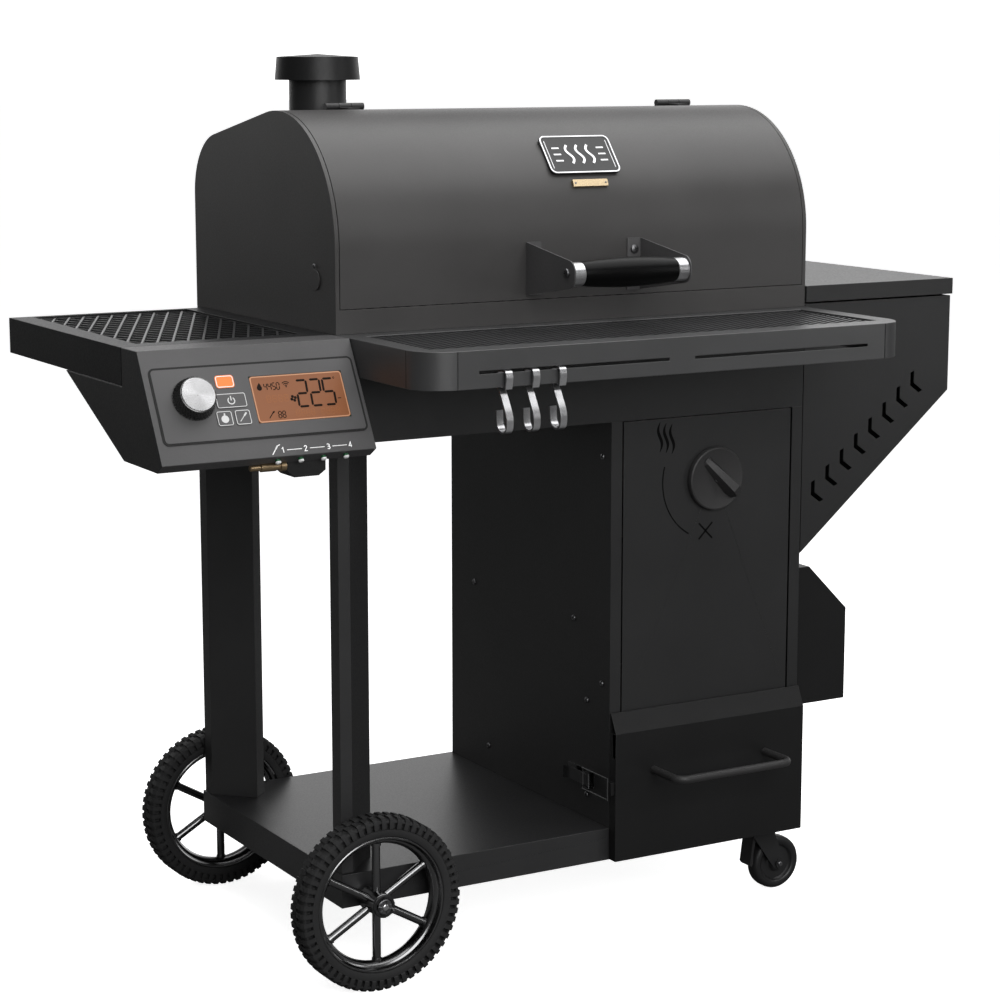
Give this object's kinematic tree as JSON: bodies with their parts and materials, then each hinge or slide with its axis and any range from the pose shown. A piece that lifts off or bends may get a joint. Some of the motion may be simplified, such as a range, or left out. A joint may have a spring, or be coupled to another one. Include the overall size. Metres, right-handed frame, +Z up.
{
  "type": "wood pellet grill and smoker",
  "caption": "Wood-pellet grill and smoker on a wheeled cart, with barrel lid, chimney, side and front shelves, controller, pellet hopper and ash drawer.",
  "frame": {"origin": "on the floor, under the middle of the object's box", "axes": "+X from the controller end to the hopper end, +Y from the front to the back, +Z up"},
  "size_m": [1.365, 0.7978, 1.29],
  "materials": {
    "hood_coat": "textured charcoal powder coat",
    "lid_coat": "satin warm dark grey powder coat",
    "mesh_coat": "painted expanded metal",
    "fascia_coat": "grey textured paint",
    "fascia_plastic": "fine textured plastic",
    "screen": "amber backlit screen",
    "button_plastic": "soft matte keys",
    "knob_metal": "brushed face, knurled black skirt",
    "sear_plastic": "moulded heat-proof plastic",
    "circuit": "green circuit board",
    "grip_lacquer": "glossy black grip",
    "badge_metal": "plain dark plate with a bright edge",
    "bright_steel": "brushed",
    "plated_steel": "dull plated steel",
    "handle_coat": "satin black",
    "grate_enamel": "enamelled",
    "raw_steel": "raw sheet steel",
    "rim_gloss": "gloss black",
    "tyre_rubber": "matte ribbed rubber",
    "caster_rubber": "smooth rubber"
  },
  "bodies": {
    "cart": {"hood_shell": "hood_coat", "cook_tub": "hood_coat", "hinge_leaves_fixed": "lid_coat", "chimney_pipe": "lid_coat", "cooking_grates": "grate_enamel", "drip_tray": "raw_steel", "heat_deflector": "raw_steel", "front_shelf_frame": "hood_coat", "side_shelf_frame": "hood_coat", "shelf_meshes": "mesh_coat", "controller_housing": "fascia_coat", "controller_faceplate": "fascia_plastic", "display_lens": "screen", "control_board": "circuit", "hopper_case": "hood_coat", "pellet_funnel": "raw_steel", "burner_housing": "raw_steel", "fire_pot": "raw_steel", "auger_motor": "plated_steel", "base_tray": "hood_coat", "cart_legs": "hood_coat", "pedestal_shell": "hood_coat", "pedestal_front_panel": "hood_coat", "latch_base": "plated_steel", "blower_housing": "hood_coat", "axle": "plated_steel", "caster_plates": "plated_steel", "panel_screws": "handle_coat"},
    "lid": {"lid_shell": "lid_coat", "hinge_leaves_lid": "lid_coat", "lid_handle_brackets": "lid_coat", "lid_grip": "grip_lacquer", "name_plate": "badge_metal"},
    "chimney_cap": {"chimney_cap": "lid_coat"},
    "hook_1": {"utensil_hook_1": "bright_steel"},
    "hook_2": {"utensil_hook_2": "bright_steel"},
    "hook_3": {"utensil_hook_3": "bright_steel"},
    "control_knob": {"control_knob": "knob_metal"},
    "power_button": {"power_button": "button_plastic"},
    "timer_button": {"timer_button": "button_plastic"},
    "probe_button": {"probe_button": "button_plastic"},
    "hopper_lid": {"hopper_lid": "hood_coat"},
    "auger": {"auger_screw": "plated_steel"},
    "fan": {"fan_wheel": "plated_steel"},
    "sear_control": {"sear_knob": "sear_plastic", "sear_damper": "plated_steel"},
    "drawer": {"drawer_front": "hood_coat", "ash_bin": "raw_steel", "drawer_handle": "handle_coat"},
    "latch_lever": {"latch_lever": "plated_steel"},
    "latch_bail": {"latch_bail": "plated_steel"},
    "wheel_front": {"wheel_rim_front": "rim_gloss", "wheel_tyre_front": "tyre_rubber"},
    "wheel_rear": {"wheel_rim_rear": "rim_gloss", "wheel_tyre_rear": "tyre_rubber"},
    "caster_front": {"caster_fork_front": "plated_steel"},
    "caster_rear": {"caster_fork_rear": "plated_steel"},
    "caster_wheel_front": {"caster_wheel_front": "caster_rubber"},
    "caster_wheel_rear": {"caster_wheel_rear": "caster_rubber"},
    "caster_brake": {"caster_brake_pedal": "plated_steel"}
  },
  "joints": [
    {"name": "lid_hinge", "type": "hinge", "parent": "cart", "child": "lid", "pos_m": [0.011, 0.0773, 1.2165], "axis": [-1, 0, 0], "range_deg": [0, 85]},
    {"name": "chimney_cap_screw", "type": "slide", "parent": "cart", "child": "chimney_cap", "axis": [0, 0, 1], "range_m": [-0.012, 0.015]},
    {"name": "hook_1_slide", "type": "slide", "parent": "cart", "child": "hook_1", "axis": [1, 0, 0], "range_m": [-0.014, 0.014]},
    {"name": "hook_2_slide", "type": "slide", "parent": "cart", "child": "hook_2", "axis": [1, 0, 0], "range_m": [-0.014, 0.014]},
    {"name": "hook_3_slide", "type": "slide", "parent": "cart", "child": "hook_3", "axis": [1, 0, 0], "range_m": [-0.014, 0.014]},
    {"name": "control_knob_turn", "type": "hinge", "parent": "cart", "child": "control_knob", "pos_m": [-0.621, -0.22786, 0.85997], "axis": [0, -0.8738, 0.4863], "continuous": true},
    {"name": "power_button_press", "type": "slide", "parent": "cart", "child": "power_button", "axis": [0, 0.8738, -0.4863], "range_m": [0, 0.001], "stiffness_N_per_m": 600},
    {"name": "timer_button_press", "type": "slide", "parent": "cart", "child": "timer_button", "axis": [0, 0.8738, -0.4863], "range_m": [0, 0.001], "stiffness_N_per_m": 600},
    {"name": "probe_button_press", "type": "slide", "parent": "cart", "child": "probe_button", "axis": [0, 0.8738, -0.4863], "range_m": [0, 0.001], "stiffness_N_per_m": 600},
    {"name": "hopper_lid_hinge", "type": "hinge", "parent": "cart", "child": "hopper_lid", "pos_m": [0.541, 0.3033, 0.9286], "axis": [-1, 0, 0], "range_deg": [0, 80]},
    {"name": "auger_turn", "type": "hinge", "parent": "cart", "child": "auger", "pos_m": [0.421, 0.0983, 0.738], "axis": [1, 0, 0], "continuous": true},
    {"name": "fan_turn", "type": "hinge", "parent": "cart", "child": "fan", "pos_m": [0.441, 0.0383, 0.39], "axis": [1, 0, 0], "continuous": true},
    {"name": "sear_knob_turn", "type": "hinge", "parent": "cart", "child": "sear_control", "pos_m": [0.241, -0.1417, 0.672], "axis": [0, -1, 0], "range_deg": [0, 110]},
    {"name": "drawer_slide", "type": "slide", "parent": "cart", "child": "drawer", "axis": [0, -1, 0], "range_m": [0, 0.3]},
    {"name": "latch_lever_turn", "type": "hinge", "parent": "cart", "child": "latch_lever", "pos_m": [0.054, -0.0957, 0.225], "axis": [0, 0, 1], "range_deg": [0, 150]},
    {"name": "latch_bail_turn", "type": "hinge", "parent": "latch_lever", "child": "latch_bail", "pos_m": [0.052, -0.0837, 0.225], "axis": [0, 0, 1], "range_deg": [-150, 0]},
    {"name": "wheel_front_turn", "type": "hinge", "parent": "cart", "child": "wheel_front", "pos_m": [-0.3396, -0.1688, 0.125], "axis": [0, 1, 0], "continuous": true},
    {"name": "wheel_rear_turn", "type": "hinge", "parent": "cart", "child": "wheel_rear", "pos_m": [-0.3396, 0.3684, 0.125], "axis": [0, 1, 0], "continuous": true},
    {"name": "caster_front_swivel", "type": "hinge", "parent": "cart", "child": "caster_front", "pos_m": [0.37, -0.0887, 0.105], "axis": [0, 0, 1], "continuous": true},
    {"name": "caster_rear_swivel", "type": "hinge", "parent": "cart", "child": "caster_rear", "pos_m": [0.37, 0.2883, 0.105], "axis": [0, 0, 1], "continuous": true},
    {"name": "caster_wheel_front_turn", "type": "hinge", "parent": "caster_front", "child": "caster_wheel_front", "pos_m": [0.4, -0.0887, 0.042], "axis": [0, 1, 0], "continuous": true},
    {"name": "caster_wheel_rear_turn", "type": "hinge", "parent": "caster_rear", "child": "caster_wheel_rear", "pos_m": [0.4, 0.2883, 0.042], "axis": [0, 1, 0], "continuous": true},
    {"name": "caster_brake_press", "type": "hinge", "parent": "caster_front", "child": "caster_brake", "pos_m": [0.356, -0.0887, 0.093], "axis": [0, -1, 0], "range_deg": [0, 6]}
  ],
  "couplings": [
    {"joint": "latch_bail_turn", "follows": "latch_lever_turn", "ratio": -1}
  ]
}
